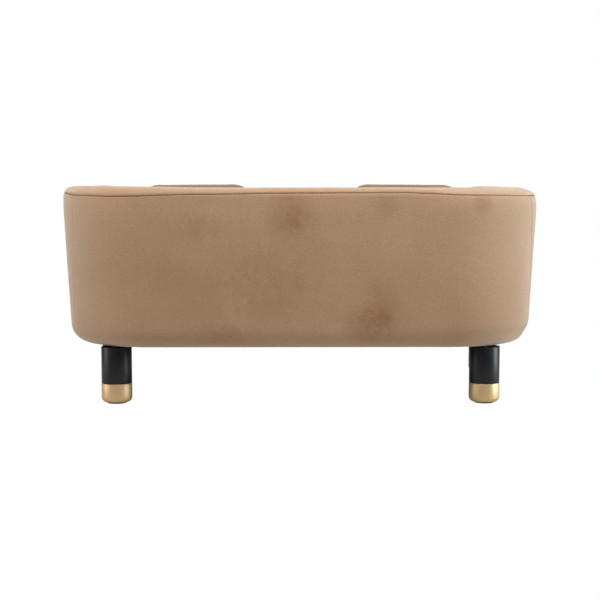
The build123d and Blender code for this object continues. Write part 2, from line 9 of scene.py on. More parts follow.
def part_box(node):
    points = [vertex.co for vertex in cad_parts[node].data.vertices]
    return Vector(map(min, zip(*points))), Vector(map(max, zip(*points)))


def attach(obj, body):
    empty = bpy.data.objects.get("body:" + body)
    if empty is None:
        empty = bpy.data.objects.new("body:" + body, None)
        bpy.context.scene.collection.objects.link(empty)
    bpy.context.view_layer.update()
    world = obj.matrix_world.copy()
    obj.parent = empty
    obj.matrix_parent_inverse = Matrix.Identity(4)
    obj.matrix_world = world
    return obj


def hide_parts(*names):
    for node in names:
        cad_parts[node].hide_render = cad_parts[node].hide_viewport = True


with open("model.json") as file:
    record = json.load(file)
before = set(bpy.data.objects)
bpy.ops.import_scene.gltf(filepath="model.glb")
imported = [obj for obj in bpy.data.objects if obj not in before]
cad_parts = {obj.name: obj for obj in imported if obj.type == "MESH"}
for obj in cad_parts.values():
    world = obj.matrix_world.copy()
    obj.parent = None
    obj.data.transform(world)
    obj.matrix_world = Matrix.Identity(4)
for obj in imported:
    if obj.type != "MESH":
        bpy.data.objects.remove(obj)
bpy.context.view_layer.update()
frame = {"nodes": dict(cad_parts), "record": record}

# Sofa wall, metres. s runs inwards from the widest line of the wall, z is up.
wall = {
    "halfWidth": 0.380, "backY": 0.240, "corner": 0.150, "endY": -0.226, "thick": 0.070,
    "top": 0.337, "bottom": 0.090, "lean": math.radians(3.2), "widestZ": 0.307, "bulge": 0.220,
    "under": 0.031, "rim": 0.013, "crown": 0.001, "hem": 0.016, "deck": 0.129,
}


# Helpers


def noiseAt(point, scale, seed=0.0):
    return noise.noise(Vector(point) * scale + Vector((seed, seed * 1.7, -seed)))


def arcPoints(centre, radius, start, end, count):
    turns = [math.radians(start + (end - start) * k / count) for k in range(count + 1)]
    return [(centre[0] + radius * math.cos(t), centre[1] + radius * math.sin(t)) for t in turns]


# Points about spacing apart along a 2-D path, ends kept
def evenPoints(points, spacing):
    lengths = [0.0]
    for a, b in zip(points, points[1:]):
        lengths.append(lengths[-1] + math.dist(a, b))
    count = max(2, round(lengths[-1] / spacing))
    result = []
    k = 0
    for step in range(count + 1):
        want = lengths[-1] * step / count
        while k < len(points) - 2 and lengths[k + 1] < want:
            k += 1
        part = (want - lengths[k]) / max(lengths[k + 1] - lengths[k], 1e-9)
        a, b = points[k], points[k + 1]
        result.append((a[0] + (b[0] - a[0]) * part, a[1] + (b[1] - a[1]) * part))
    return result


# 1 in the middle, fading out over a few widths
def bell(distance, width):
    return math.exp(-(distance / width) ** 2)


# Turns all faces over where the one furthest along y, or against it, looks the other way
def faceAlong(bm, direction):
    bm.normal_update()
    probe = max(bm.faces, key=lambda face: face.calc_center_median().y * direction)
    if probe.normal.y * direction < 0:
        bmesh.ops.reverse_faces(bm, faces=bm.faces[:])


def finishMesh(name, bm, material, smooth=True):
    mesh = bpy.data.meshes.new(name)
    bm.to_mesh(mesh)
    bm.free()
    piece = bpy.data.objects.new(name, mesh)
    bpy.context.scene.collection.objects.link(piece)
    piece.data.materials.append(material)
    for face in mesh.polygons:
        face.use_smooth = smooth
    return piece


# A sheet of quads whose corner at (column value, row value) goes to place()
def sheetGrid(columns, rows, place):
    bm = bmesh.new()
    bmesh.ops.create_grid(bm, x_segments=len(columns) - 1, y_segments=len(rows) - 1, size=0.5)
    for vert in bm.verts:
        i = round((vert.co.x + 0.5) * (len(columns) - 1))
        j = round((vert.co.y + 0.5) * (len(rows) - 1))
        vert.co = place(columns[i], rows[j])
    return bm


def thicken(piece, thickness):
    solidify = piece.modifiers.new("Thickness", "SOLIDIFY")
    solidify.thickness = thickness
    solidify.offset = -1


# Materials


def newMaterial(name):
    material = bpy.data.materials.new(name)
    material.use_nodes = True
    nodes = material.node_tree.nodes
    return material, nodes, material.node_tree.links, nodes["Principled BSDF"]


def addNode(nodes, kind, **values):
    node = nodes.new(kind)
    for key, value in values.items():
        if key in node.inputs:
            node.inputs[key].default_value = value
        else:
            setattr(node, key, value)
    return node


# 8-bit screen colour as linear
def srgb(r, g, b):
    def channel(c):
        c /= 255
        return c / 12.92 if c <= 0.04045 else ((c + 0.055) / 1.055) ** 2.4
    return (channel(r), channel(g), channel(b), 1.0)


def ramp(nodes, links, source, stops):
    node = nodes.new("ShaderNodeValToRGB")
    elements = node.color_ramp.elements
    while len(elements) < len(stops):
        elements.new(0.5)
    for element, (position, colour) in zip(elements, stops):
        element.position = position
        element.color = colour
    links.new(source, node.inputs["Fac"])
    return node.outputs["Color"]


def combine(nodes, links, operation, first, second, clamp=False):
    node = addNode(nodes, "ShaderNodeMath", operation=operation, use_clamp=clamp)
    links.new(first, node.inputs[0])
    links.new(second, node.inputs[1])
    return node.outputs[0]


# A value between start and end as 0 to top
def remap(nodes, links, source, start, end, top=1.0, kind="SMOOTHSTEP"):
    node = addNode(nodes, "ShaderNodeMapRange", interpolation_type=kind)
    for key, value in (("From Min", start), ("From Max", end), ("To Max", top)):
        node.inputs[key].default_value = value
    links.new(source, node.inputs["Value"])
    return node.outputs["Result"]


velvetLook = {
    "deep": srgb(144, 114, 87), "mid": srgb(162, 131, 104), "light": srgb(180, 149, 122), "fine": 0.6,
    "sheen": 0.48, "sheenRoughness": 0.48, "sheenTint": srgb(255, 244, 232), "roughness": 0.85,
    # The last two darken: the back panel's brushed-down nap patches with its painted shade low down, and the
    # pillows all over as painted shade
    "brushedAndShade": srgb(200, 184, 164), "pillow": srgb(218, 214, 208),
}


# Nap shading: object position in; colour and height out
def velvetGroup():
    group = bpy.data.node_groups.new("velvetNap", "ShaderNodeTree")
    group.interface.new_socket("Position", in_out="INPUT", socket_type="NodeSocketVector")
    group.interface.new_socket("Color", in_out="OUTPUT", socket_type="NodeSocketColor")
    group.interface.new_socket("Height", in_out="OUTPUT", socket_type="NodeSocketFloat")
    nodes, links = group.nodes, group.links
    start = nodes.new("NodeGroupInput")
    end = nodes.new("NodeGroupOutput")
    brush = addNode(nodes, "ShaderNodeTexNoise", Scale=7.0, Detail=3.0, Roughness=0.55, Distortion=0.4)
    fine = addNode(nodes, "ShaderNodeTexNoise", Scale=420.0, Detail=3.0, Roughness=0.65)
    pile = addNode(nodes, "ShaderNodeTexNoise", Scale=1600.0, Detail=2.0, Roughness=0.7)
    for texture in (brush, fine, pile):
        links.new(start.outputs["Position"], texture.inputs["Vector"])
    mixFine = addNode(nodes, "ShaderNodeMix", data_type="FLOAT")
    mixFine.inputs[0].default_value = velvetLook["fine"]
    links.new(brush.outputs["Fac"], mixFine.inputs[2])
    links.new(fine.outputs["Fac"], mixFine.inputs[3])
    colour = ramp(nodes, links, mixFine.outputs[0], [
        (0.20, velvetLook["deep"]), (0.50, velvetLook["mid"]), (0.80, velvetLook["light"])])
    links.new(colour, end.inputs["Color"])
    height = combine(nodes, links, "ADD", fine.outputs["Fac"], pile.outputs["Fac"])
    links.new(height, end.inputs["Height"])
    return group


napGroup = velvetGroup()


def velvetMaterial(name):
    material, nodes, links, shader = newMaterial(name)
    where = nodes.new("ShaderNodeTexCoord")
    nap = nodes.new("ShaderNodeGroup")
    nap.node_tree = napGroup
    links.new(where.outputs["Object"], nap.inputs["Position"])
    links.new(nap.outputs["Color"], shader.inputs["Base Color"])
    bump = addNode(nodes, "ShaderNodeBump", Strength=0.35, Distance=0.0006)
    links.new(nap.outputs["Height"], bump.inputs["Height"])
    links.new(bump.outputs["Normal"], shader.inputs["Normal"])
    shader.inputs["Roughness"].default_value = velvetLook["roughness"]
    shader.inputs["Specular IOR Level"].default_value = 0.15
    shader.inputs["Sheen Weight"].default_value = velvetLook["sheen"]
    shader.inputs["Sheen Roughness"].default_value = velvetLook["sheenRoughness"]
    shader.inputs["Sheen Tint"].default_value = velvetLook["sheenTint"]
    return material


velvet = velvetMaterial("velvet")

# Brushed-down patches on the back panel: (x, z, half width, half height, strength)
smudges = [
    (-0.108, 0.128, 0.054, 0.036, 0.60), (-0.124, 0.156, 0.032, 0.046, 0.38),
    (0.014, 0.292, 0.040, 0.042, 0.70), (0.116, 0.112, 0.060, 0.022, 0.35),
    (-0.276, 0.313, 0.016, 0.020, 0.60), (0.160, 0.273, 0.045, 0.030, 0.30),
    (-0.129, 0.309, 0.022, 0.020, 0.35), (0.020, 0.180, 0.160, 0.090, 0.22),
    (0.130, 0.230, 0.260, 0.120, 0.22),
]
smudgeDepth = 0.1


# Darkening of the back panel, brushed-down nap patches and painted shade that grows towards the bottom:
# object position in, mask out
def napAndShadeGroup():
    group = bpy.data.node_groups.new("napSmudgesAndPaintedShade", "ShaderNodeTree")
    group.interface.new_socket("Position", in_out="INPUT", socket_type="NodeSocketVector")
    group.interface.new_socket("Mask", in_out="OUTPUT", socket_type="NodeSocketFloat")
    nodes, links = group.nodes, group.links
    start = nodes.new("NodeGroupInput")
    end = nodes.new("NodeGroupOutput")
    streaks = addNode(nodes, "ShaderNodeTexNoise", Scale=74.0, Detail=5.0, Roughness=0.60, Distortion=0.5)
    links.new(start.outputs["Position"], streaks.inputs["Vector"])
    streakMask = remap(nodes, links, streaks.outputs["Fac"], 0.02, 0.72, kind="LINEAR")
    total = None
    for x, z, halfX, halfZ, strength in smudges:
        mapping = nodes.new("ShaderNodeMapping")
        mapping.inputs["Location"].default_value = (-x / halfX, -wall["backY"] / smudgeDepth, -z / halfZ)
        mapping.inputs["Scale"].default_value = (1 / halfX, 1 / smudgeDepth, 1 / halfZ)
        links.new(start.outputs["Position"], mapping.inputs["Vector"])
        away = addNode(nodes, "ShaderNodeVectorMath", operation="LENGTH")
        links.new(mapping.outputs["Vector"], away.inputs[0])
        patch = remap(nodes, links, away.outputs["Value"], 1.25, 0.15, strength)
        total = patch if total is None else combine(nodes, links, "ADD", total, patch)
    streaked = combine(nodes, links, "MULTIPLY", total, streakMask)
    # Painted shade: the panel darker towards the bottom, added to the nap patches
    height = nodes.new("ShaderNodeSeparateXYZ")
    links.new(start.outputs["Position"], height.inputs["Vector"])
    foot = remap(nodes, links, height.outputs["Z"], 0.32, 0.09, 0.32)
    mask = combine(nodes, links, "ADD", streaked, foot, clamp=True)
    links.new(mask, end.inputs["Mask"])
    return group


# Velvet darkened by a colour, everywhere or where the masks say; the darkening is painted shade, with
# brushed-down nap patches on the back panel
def darkVelvet(name, colour, masks=None):
    material = velvetMaterial(name)
    nodes, links = material.node_tree.nodes, material.node_tree.links
    baseColour = nodes["Principled BSDF"].inputs["Base Color"]
    mix = addNode(nodes, "ShaderNodeMix", data_type="RGBA", blend_type="MULTIPLY")
    mix.inputs[0].default_value = 1.0
    mix.inputs[7].default_value = colour
    links.new(baseColour.links[0].from_socket, mix.inputs[6])
    links.new(mix.outputs[2], baseColour)
    if masks:
        where = nodes.new("ShaderNodeTexCoord")
        group = nodes.new("ShaderNodeGroup")
        group.node_tree = masks
        links.new(where.outputs["Object"], group.inputs["Position"])
        links.new(group.outputs["Mask"], mix.inputs[0])
    return material


# Back panel velvet: brushed-down nap patches, and painted shade darker towards the bottom
velvetBack = darkVelvet("velvetBack", velvetLook["brushedAndShade"], napAndShadeGroup())
# Painted shade: the pillows' velvet darker all over
velvetPillowShaded = darkVelvet("velvetPillowShaded", velvetLook["pillow"])


# Noise-grained surface used for wood, metal, foam and plain cloth
def grainMaterial(name, dark, light, scale, roughness, metallic=0.0, bumpStrength=0.2, stretch=(1, 1, 1)):
    material, nodes, links, shader = newMaterial(name)
    where = nodes.new("ShaderNodeTexCoord")
    mapping = addNode(nodes, "ShaderNodeMapping", Scale=stretch)
    grain = addNode(nodes, "ShaderNodeTexNoise", Scale=scale, Detail=5.0, Roughness=0.6)
    links.new(where.outputs["Object"], mapping.inputs["Vector"])
    links.new(mapping.outputs["Vector"], grain.inputs["Vector"])
    colour = ramp(nodes, links, grain.outputs["Fac"], [(0.3, dark), (0.7, light)])
    links.new(colour, shader.inputs["Base Color"])
    shader.inputs["Metallic"].default_value = metallic
    rough = ramp(nodes, links, grain.outputs["Fac"], [
        (0.2, (roughness * 0.85,) * 3 + (1,)), (0.8, (min(1, roughness * 1.15),) * 3 + (1,))])
    links.new(rough, shader.inputs["Roughness"])
    bump = addNode(nodes, "ShaderNodeBump", Strength=bumpStrength, Distance=0.0003)
    links.new(grain.outputs["Fac"], bump.inputs["Height"])
    links.new(bump.outputs["Normal"], shader.inputs["Normal"])
    return material


blackWood = grainMaterial("blackWood", srgb(9, 9, 10), srgb(20, 20, 21), 60, 0.40, stretch=(8, 8, 0.6))
blackWood.node_tree.nodes["Principled BSDF"].inputs["Specular IOR Level"].default_value = 0.28
goldMetal = grainMaterial("goldMetal", srgb(184, 154, 114), srgb(208, 178, 136), 300, 0.50, metallic=0.85,
                          stretch=(1, 1, 6))
frameWood = grainMaterial("frameWood", srgb(180, 140, 95), srgb(214, 178, 130), 30, 0.7, stretch=(0.4, 6, 6))
bentBoard = grainMaterial("bentBoard", srgb(126, 98, 68), srgb(150, 118, 84), 90, 0.75)
foamSkin = grainMaterial("foamSkin", srgb(228, 216, 176), srgb(240, 230, 196), 500, 0.95)
dustCloth = grainMaterial("dustCloth", srgb(22, 22, 22), srgb(40, 40, 40), 900, 0.9, bumpStrength=0.5)
lining = grainMaterial("lining", srgb(70, 56, 44), srgb(92, 76, 60), 1200, 0.9, bumpStrength=0.4)
zincSteel = grainMaterial("zincSteel", srgb(150, 150, 148), srgb(190, 190, 186), 200, 0.4, metallic=1.0)
blackPlastic = grainMaterial("blackPlastic", srgb(22, 22, 23), srgb(34, 34, 35), 400, 0.6)
zipCloth = grainMaterial("zipCloth", srgb(118, 92, 68), srgb(142, 112, 84), 1500, 0.85, bumpStrength=0.5)
zipMetal = grainMaterial("zipMetal", srgb(120, 96, 72), srgb(140, 112, 84), 200, 0.4, metallic=0.4)
thread = grainMaterial("thread", srgb(78, 54, 34), srgb(98, 70, 46), 2000, 0.8)

slotLooks = {
    "velvet": velvet, "lining": lining, "dust_cloth": dustCloth, "foam": foamSkin, "wadding": foamSkin,
    "fibre": foamSkin, "frame_wood": frameWood, "bent_board": bentBoard, "black_wood": blackWood,
    "gold_metal": goldMetal, "zinc_steel": zincSteel, "black_plastic": blackPlastic, "zip": zipCloth,
    "zip_metal": zipMetal,
}
for part in frame["record"]["subparts"]:
    node = frame["nodes"][part["node"]]
    for k in range(len(node.material_slots)):
        node.material_slots[k].material = slotLooks[part["material_slot"]]
print("materials done")


# Wall section and its run in plan


# The wall's cloth from the hem under it, up outside, over the rim and down inside, in (s, z)
def sectionPath():
    lean = wall["lean"]
    normal = (math.cos(lean), math.sin(lean))
    bulgeStart = (wall["bulge"] * (1 - normal[0]), wall["widestZ"] - wall["bulge"] * normal[1])
    footZ = wall["bottom"] + wall["under"] * (1 - normal[1])
    footS = bulgeStart[0] + (bulgeStart[1] - footZ) * math.tan(lean)
    centre = (footS + wall["under"] * normal[0], wall["bottom"] + wall["under"])
    seamZ = wall["top"] - wall["rim"] - wall["crown"]
    half = wall["thick"] / 2
    reach = half - wall["rim"]
    radius = (reach ** 2 / wall["crown"] + 2 * wall["rim"] + wall["crown"]) / 2
    tilt = math.degrees(math.asin(reach / (radius - wall["rim"])))
    path = [(centre[0] + wall["hem"], wall["bottom"])]
    path += arcPoints(centre, wall["under"], 270, 180 + math.degrees(lean), 24)
    path += arcPoints((wall["bulge"], wall["widestZ"]), wall["bulge"], 180 + math.degrees(lean), 180, 8)
    path += arcPoints((wall["rim"], seamZ), wall["rim"], 180, 90 + tilt, 12)
    path += arcPoints((half, wall["top"] - radius), radius, 90 + tilt, 90 - tilt, 16)[1:]
    path += arcPoints((wall["thick"] - wall["rim"], seamZ), wall["rim"], 90 - tilt, 0, 12)[1:]
    path += [(wall["thick"], wall["deck"])]
    return path


contour = evenPoints(sectionPath(), 0.0005)
contourStep = math.dist(contour[0], contour[1])
contourLength = contourStep * (len(contour) - 1)
rimZ = wall["top"] - wall["rim"] - wall["crown"]
outerSeamAt = contourStep * next(k for k, p in enumerate(contour) if p[1] >= rimZ)
innerSeamAt = contourStep * next(k for k, p in enumerate(contour) if p[0] > wall["thick"] * 0.9)
armRun = wall["backY"] - wall["corner"] - wall["endY"]
cornerRun = wall["corner"] * math.pi / 2
backRun = 2 * (wall["halfWidth"] - wall["corner"])
wholeRun = 2 * armRun + 2 * cornerRun + backRun


# (s, z) and its outward normal at a length t along the section
def onContour(t):
    k = max(0, min(len(contour) - 2, int(t / contourStep)))
    part = t / contourStep - k
    a, b = contour[k], contour[k + 1]
    ds, dz = b[0] - a[0], b[1] - a[1]
    length = math.hypot(ds, dz)
    return (a[0] + ds * part, a[1] + dz * part), (-dz / length, ds / length)


# (x, y, outward direction) at a length along the wall from the left arm's end
def planAt(along, s):
    side = -1
    if along > wholeRun / 2:
        along = wholeRun - along
        side = 1
    cornerX = side * (wall["halfWidth"] - wall["corner"])
    cornerY = wall["backY"] - wall["corner"]
    if along < armRun:
        return side * (wall["halfWidth"] - s), wall["endY"] + along, Vector((side, 0, 0))
    if along < armRun + cornerRun:
        turn = (along - armRun) / wall["corner"]
        out = Vector((side * math.cos(turn), math.sin(turn), 0))
        return cornerX + out.x * (wall["corner"] - s), cornerY + out.y * (wall["corner"] - s), out
    return cornerX - side * (along - armRun - cornerRun), wall["backY"] - s, Vector((0, 1, 0))


# Upholstered wall: outer panel with side seams, rim band and inner panel
panel = {
    "step": 0.0032, "cloth": 0.0012, "soft": 0.0008, "softFade": 0.02, "bandSoft": 0.0005, "bandFade": 0.01,
    "groove": 0.0016, "grooveWidth": 0.0013, "cheek": 0.0004, "cheekAt": 0.006,
    "outerGroove": 0.4, "outerPucker": 0.6, "bandPucker": 0.7, "innerSink": 0.0004, "innerSoft": 0.0005,
    "outerMost": 0.0009, "bandMost": 0.0006, "innerMost": 0.0003,
    "pucker": 0.0006, "puckerLength": 0.0125, "puckerReach": 0.012,
    "seamAhead": [(-0.62, 2.0), (-0.46, 0.0), (-0.384, 0.4), (-0.272, 2.4), (-0.15, 6.0), (0.0, 5.4),
                  (0.15, 3.0), (0.285, -0.4), (0.365, 1.2), (0.42, 4.4), (0.50, 2.5), (0.62, 2.0)],
    "sideTurnTop": (30.0, 36.0), "sideTurnBottom": (13.0, 24.0), "sideDepth": (0.0009, 0.0003),
    "sideReach": 0.07, "sideWidth": 0.0009, "sideCheekAt": 0.004, "sideCheekWidth": 0.003,
    "softEnd": [(0.0, 0.0), (0.10, 1.0), (armRun + cornerRun * 0.75, 1.0), (armRun + cornerRun * 1.35, 0.0)],
    "sag": 0.0050, "sagAt": 0.012, "sagWidth": 0.016, "plump": 0.0018, "plumpWidth": 0.022,
    "foot": 0.0034, "footAt": 0.048, "footWidth": 0.013,
}


# Smooth value between neighbouring (place, value) keys
def between(keys, value):
    if value <= keys[0][0]:
        return keys[0][1]
    for (p0, v0), (p1, v1) in zip(keys, keys[1:]):
        if value <= p1:
            part = (value - p0) / (p1 - p0)
            part = part * part * (3 - 2 * part)
            return v0 + (v1 - v0) * part
    return keys[-1][1]


# The cloth at a length along the wall and a length t along its section, raised by lift:
# one end of the wall is softer and sags, the other is plumper on top
def wallPoint(along, t, lift):
    (s, z), (ns, nz) = onContour(t)
    x, y, out = planAt(along, s)
    soft = between(panel["softEnd"], along)
    lift -= soft * panel["sag"] * bell(t - outerSeamAt - panel["sagAt"], panel["sagWidth"])
    lift -= soft * panel["foot"] * bell(t - panel["footAt"], panel["footWidth"])
    full = between(panel["softEnd"], wholeRun - along)
    crest = (outerSeamAt + innerSeamAt) / 2
    lift += full * panel["plump"] * math.exp(-((t - crest) / panel["plumpWidth"]) ** 4)
    return Vector((x, y, z)) - out * (ns * lift) + Vector((0, 0, nz * lift))


def outerSeam(along):
    wave = 0.25 * noiseAt((along, 0, 0), 37, 7.7)
    return outerSeamAt + 0.001 * (between(panel["seamAhead"], along - wholeRun / 2) + wave)


def innerSeam(along):
    return innerSeamAt - 0.001 * (2.0 + 1.5 * noiseAt((along, 0, 0), 9, 3.3))


# Depth that the cloth is pulled in beside a seam, and the cheek it forms further off
def groove(distance, wide=1.0):
    pull = panel["groove"] * bell(distance, panel["grooveWidth"] * wide)
    return wide * panel["cheek"] * bell(distance - panel["cheekAt"], panel["cheekAt"]) - pull


# Small gathers that run off a seam
def pucker(along, distance, seed):
    fade = math.exp(-distance / panel["puckerReach"]) * min(1, distance / 0.002)
    phase = along / panel["puckerLength"] + 1.4 * noiseAt((along, seed, 0), 21, seed)
    gather = max(0, 0.45 + 0.9 * noiseAt((along, seed, 1), 8, seed + 2))
    return -panel["pucker"] * fade * gather * (0.5 + 0.5 * math.sin(2 * math.pi * phase))


# Length along the wall of the side seam near one end, leaning from top to bottom
def sideSeamAlong(end, z):
    part = (wall["top"] - z) / (wall["top"] - wall["bottom"])
    turn = panel["sideTurnTop"][end] + (panel["sideTurnBottom"][end] - panel["sideTurnTop"][end]) * part
    along = armRun + wall["corner"] * math.radians(turn)
    return along if end == 0 else wholeRun - along


sideSeams = [sideSeamAlong(end, wall["top"]) for end in (0, 1)]


# Places of the columns along the wall, closer together beside a side seam
def runColumns(seams):
    count = round(wholeRun / panel["step"])
    columns = [wholeRun * k / count for k in range(count + 1)]
    for seam in seams:
        columns = [c for c in columns if abs(c - seam) > 0.0022]
        columns += [seam + offset for offset in (-0.0018, -0.0010, -0.0004, 0, 0.0004, 0.0010, 0.0018)]
    return sorted(columns)


# Distances of the rows beside a rim seam; the band has the first of them at both of its edges
nearSeam = [0, 0.0004, 0.0009, 0.0015, 0.0024, 0.0036, 0.0052, 0.0072, 0.0096, 0.0126, 0.0164, 0.021, 0.027]
bandNear = nearSeam[:9]
bandEdge = nearSeam[9]


# Length t along the section where a row of the outer panel lies
def outerRowAt(along, row):
    kind, value = row
    seam = outerSeam(along)
    return value * (seam - nearSeam[-1]) if kind == "far" else seam - value


def outerPlace(along, row):
    end = 0 if along < wholeRun / 2 else 1
    (s, z), _ = onContour(outerRowAt(along, row))
    away = abs(along - sideSeams[end])
    fade = max(0, 1 - away / panel["sideReach"])
    moved = along + (sideSeamAlong(end, z) - sideSeams[end]) * fade * fade * (3 - 2 * fade)
    t = outerRowAt(moved, row)
    distance = outerSeam(moved) - t
    x, y, _ = planAt(moved, s)
    calm = min(1, (z - wall["bottom"]) / panel["softFade"]) * min(1, distance / panel["softFade"])
    lift = panel["soft"] * noiseAt((x, y, z), 10, 1.3) * calm
    lift += groove(distance, panel["outerGroove"]) + panel["outerPucker"] * pucker(moved, distance, 2.0)
    cheek = bell(away - panel["sideCheekAt"], panel["sideCheekWidth"]) / 3
    lift -= panel["sideDepth"][end] * (bell(away, panel["sideWidth"]) - cheek)
    return wallPoint(moved, t, min(lift, panel["outerMost"]))


def bandPlace(along, row):
    kind, value = row
    low, high = outerSeam(along), innerSeam(along)
    middle = low + bandEdge + (high - low - 2 * bandEdge) * value
    t = {"out": low + value, "in": high - value, "mid": middle}[kind]
    gathers = pucker(along, t - low, 5.0) + pucker(along, high - t, 9.0)
    lift = groove(t - low) + groove(high - t) + panel["bandPucker"] * gathers
    calm = min(1, (t - low) / panel["bandFade"], (high - t) / panel["bandFade"])
    lift += panel["bandSoft"] * noiseAt((along, t, 0), 16, 2.8) * calm
    return wallPoint(along, t, min(lift, panel["bandMost"]))


def innerPlace(along, row):
    kind, value = row
    start = innerSeam(along)
    far = start + nearSeam[-1]
    t = start + value if kind == "near" else far + (contourLength - far) * value
    (s, z), _ = onContour(t)
    x, y, _ = planAt(along, s)
    lift = groove(t - start) + pucker(along, t - start, 12.0)
    lift += panel["innerSoft"] * noiseAt((x, y, z), 10, 5.1) - panel["innerSink"]
    return wallPoint(along, t, min(lift, panel["innerMost"]))


def wallPiece(name, rows, place, material, nodes, seams, outwards):
    bm = sheetGrid(runColumns(seams), rows, place)
    faceAlong(bm, outwards)
    piece = finishMesh(name, bm, material)
    thicken(piece, panel["cloth"])
    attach(piece, "sofa_frame")
    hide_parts(*nodes)


outerRows = [("far", k / 48) for k in range(48)] + [("near", d) for d in reversed(nearSeam)]
wallPiece("outerPanel", outerRows, outerPlace, velvetBack, ["outer_cover", "outer_wadding"], sideSeams, 1)
bandRows = [("out", d) for d in bandNear] + [("mid", k / 10) for k in range(11)]
bandRows += [("in", d) for d in reversed(bandNear)]
wallPiece("rimBand", bandRows, bandPlace, velvet, ["rim_cover", "rim_foam"], [], 1)
innerRows = [("near", d) for d in nearSeam] + [("far", k / 30) for k in range(1, 31)]
wallPiece("innerPanel", innerRows, innerPlace, velvet, ["inner_cover", "inner_foam"], [], -1)


# Stitches in the seams: short threads, one after the other
stitch = {"pitch": 0.0042, "length": 0.0031, "radius": 0.00052, "sink": 0.0008}


# Threads laid between points that lie a stitch apart
def stitchRow(name, points, body):
    bm = bmesh.new()
    for before, here, after in zip(points, points[1:], points[2:]):
        line = (after - before).normalized()
        turn = line.to_track_quat("X", "Z").to_matrix().to_4x4()
        size = Matrix.Diagonal((stitch["length"] / 2, stitch["radius"], stitch["radius"], 1))
        place = Matrix.Translation(here) @ turn @ size
        bmesh.ops.create_icosphere(bm, subdivisions=1, radius=1.0, matrix=place)
    piece = finishMesh(name, bm, thread)
    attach(piece, body)


stitchCount = round(wholeRun / stitch["pitch"])
stitchPlaces = [wholeRun * k / stitchCount for k in range(stitchCount + 1)]
for rowName, seam in (("outerSeamStitches", outerSeam), ("innerSeamStitches", innerSeam)):
    seamPoints = [wallPoint(along, seam(along), -stitch["sink"]) for along in stitchPlaces]
    stitchRow(rowName, seamPoints, "sofa_frame")
print("wall done")

# Arm fronts: a rolled pad that closes the end of the wall
armFront = {
    "depth": 0.014, "roll": 0.008, "rollSteps": 5, "dome": 0.0015, "rings": 9, "cloth": 0.0012,
    "wave": 0.0004, "coreShift": 0.003, "coreEnd": 0.032, "coreWidth": 0.004, "coreDepth": 0.013,
    "coreJoin": 0.0017,
}


# The wall's whole outline at its end, in (s, z)
def armOutline():
    loop = contour[::6] + [(wall["thick"], wall["bottom"]), contour[0]]
    return evenPoints(loop, 0.003)[:-1]


def armFrontPiece(name, side, node):
    loop = armOutline()
    count = len(loop)
    low = (wall["thick"] / 2 + armFront["coreShift"], wall["bottom"] + armFront["coreEnd"])
    high = (wall["thick"] / 2, wall["top"] - armFront["coreEnd"])
    rings = [(0.0, 0.0)]
    straight = armFront["depth"] - armFront["roll"]
    for k in range(armFront["rollSteps"] + 1):
        turn = math.pi / 2 * k / armFront["rollSteps"]
        rings.append((armFront["roll"] * (1 - math.cos(turn)), straight + armFront["roll"] * math.sin(turn)))
    for k in range(1, armFront["rings"] + 1):
        rings.append((armFront["roll"] + k / armFront["rings"], armFront["depth"]))

    def place(column, row):
        s, z = loop[column % count]
        inset, forward = rings[row]
        part = (z - low[1]) / (high[1] - low[1])
        part = max(0, min(1, part))
        core = (low[0] + (high[0] - low[0]) * part, low[1] + (high[1] - low[1]) * part)
        away = math.dist((s, z), core)
        drawn = min(inset, armFront["roll"])
        share = max(0, inset - armFront["roll"])
        keep = (away - drawn) / away * (1 - share)
        s2 = core[0] + (s - core[0]) * keep
        z2 = core[1] + (z - core[1]) * keep
        dome = armFront["dome"] * (1 - (1 - share) ** 2) if row > armFront["rollSteps"] + 1 else 0
        wave = armFront["wave"] * noiseAt((s2, side, z2), 18, 4.4) if row > 1 else 0
        y = wall["endY"] - min(forward + wave, armFront["depth"]) - dome
        return Vector((side * (wall["halfWidth"] - s2), y, z2))

    bm = sheetGrid(list(range(count + 1)), list(range(len(rings))), place)
    bmesh.ops.remove_doubles(bm, verts=bm.verts[:], dist=1e-5)
    front = [v for v in bm.verts if v.co.y < wall["endY"] - armFront["coreDepth"]]
    inner = [v for v in front if abs(wall["halfWidth"] - abs(v.co.x) - low[0]) < armFront["coreWidth"]]
    bmesh.ops.remove_doubles(bm, verts=inner, dist=armFront["coreJoin"])
    bmesh.ops.dissolve_degenerate(bm, edges=bm.edges[:], dist=1e-6)
    bmesh.ops.recalc_face_normals(bm, faces=bm.faces[:])
    faceAlong(bm, -1)
    piece = finishMesh(name, bm, velvet)
    thicken(piece, armFront["cloth"])
    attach(piece, "sofa_frame")
    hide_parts(f"arm_front_cover_{node}", f"arm_front_foam_{node}")


armFrontPiece("armFrontLeft", -1, "left")
armFrontPiece("armFrontRight", 1, "right")

# Seat front: velvet pulled over the front rail
seatFront = {
    "y": -0.238, "bottom": 0.090, "top": 0.1305, "round": 0.011, "over": 0.076, "under": 0.030,
    "halfX": 0.310, "columns": 160, "soft": 0.0004, "cloth": 0.0012,
}


def seatFrontPiece():
    f = seatFront
    path = [(f["under"], f["bottom"])]
    path += arcPoints((f["round"], f["bottom"] + f["round"]), f["round"], 270, 180, 8)
    path += arcPoints((f["round"], f["top"] - f["round"]), f["round"], 180, 90, 8)
    path += [(f["over"], f["top"])]
    path = evenPoints(path, 0.003)
    columns = [-f["halfX"] + 2 * f["halfX"] * k / f["columns"] for k in range(f["columns"] + 1)]

    def place(x, row):
        depth, z = path[row]
        soft = f["soft"] * noiseAt((x, depth, z), 20, 8.2)
        return Vector((x, f["y"] + depth + (abs(soft) if z < f["top"] - 0.001 else 0), z))

    bm = sheetGrid(columns, list(range(len(path))), place)
    faceAlong(bm, -1)
    piece = finishMesh("seatFront", bm, velvet)
    thicken(piece, f["cloth"])
    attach(piece, "sofa_frame")
    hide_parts("front_cover", "front_foam")


seatFrontPiece()
print("arm fronts and seat front done")

# Legs: turned wood, metal tip
leg = {"radius": 0.024, "top": 0.0888, "tipTop": 0.0315, "base": 0.0015, "round": 0.008, "steps": 72}


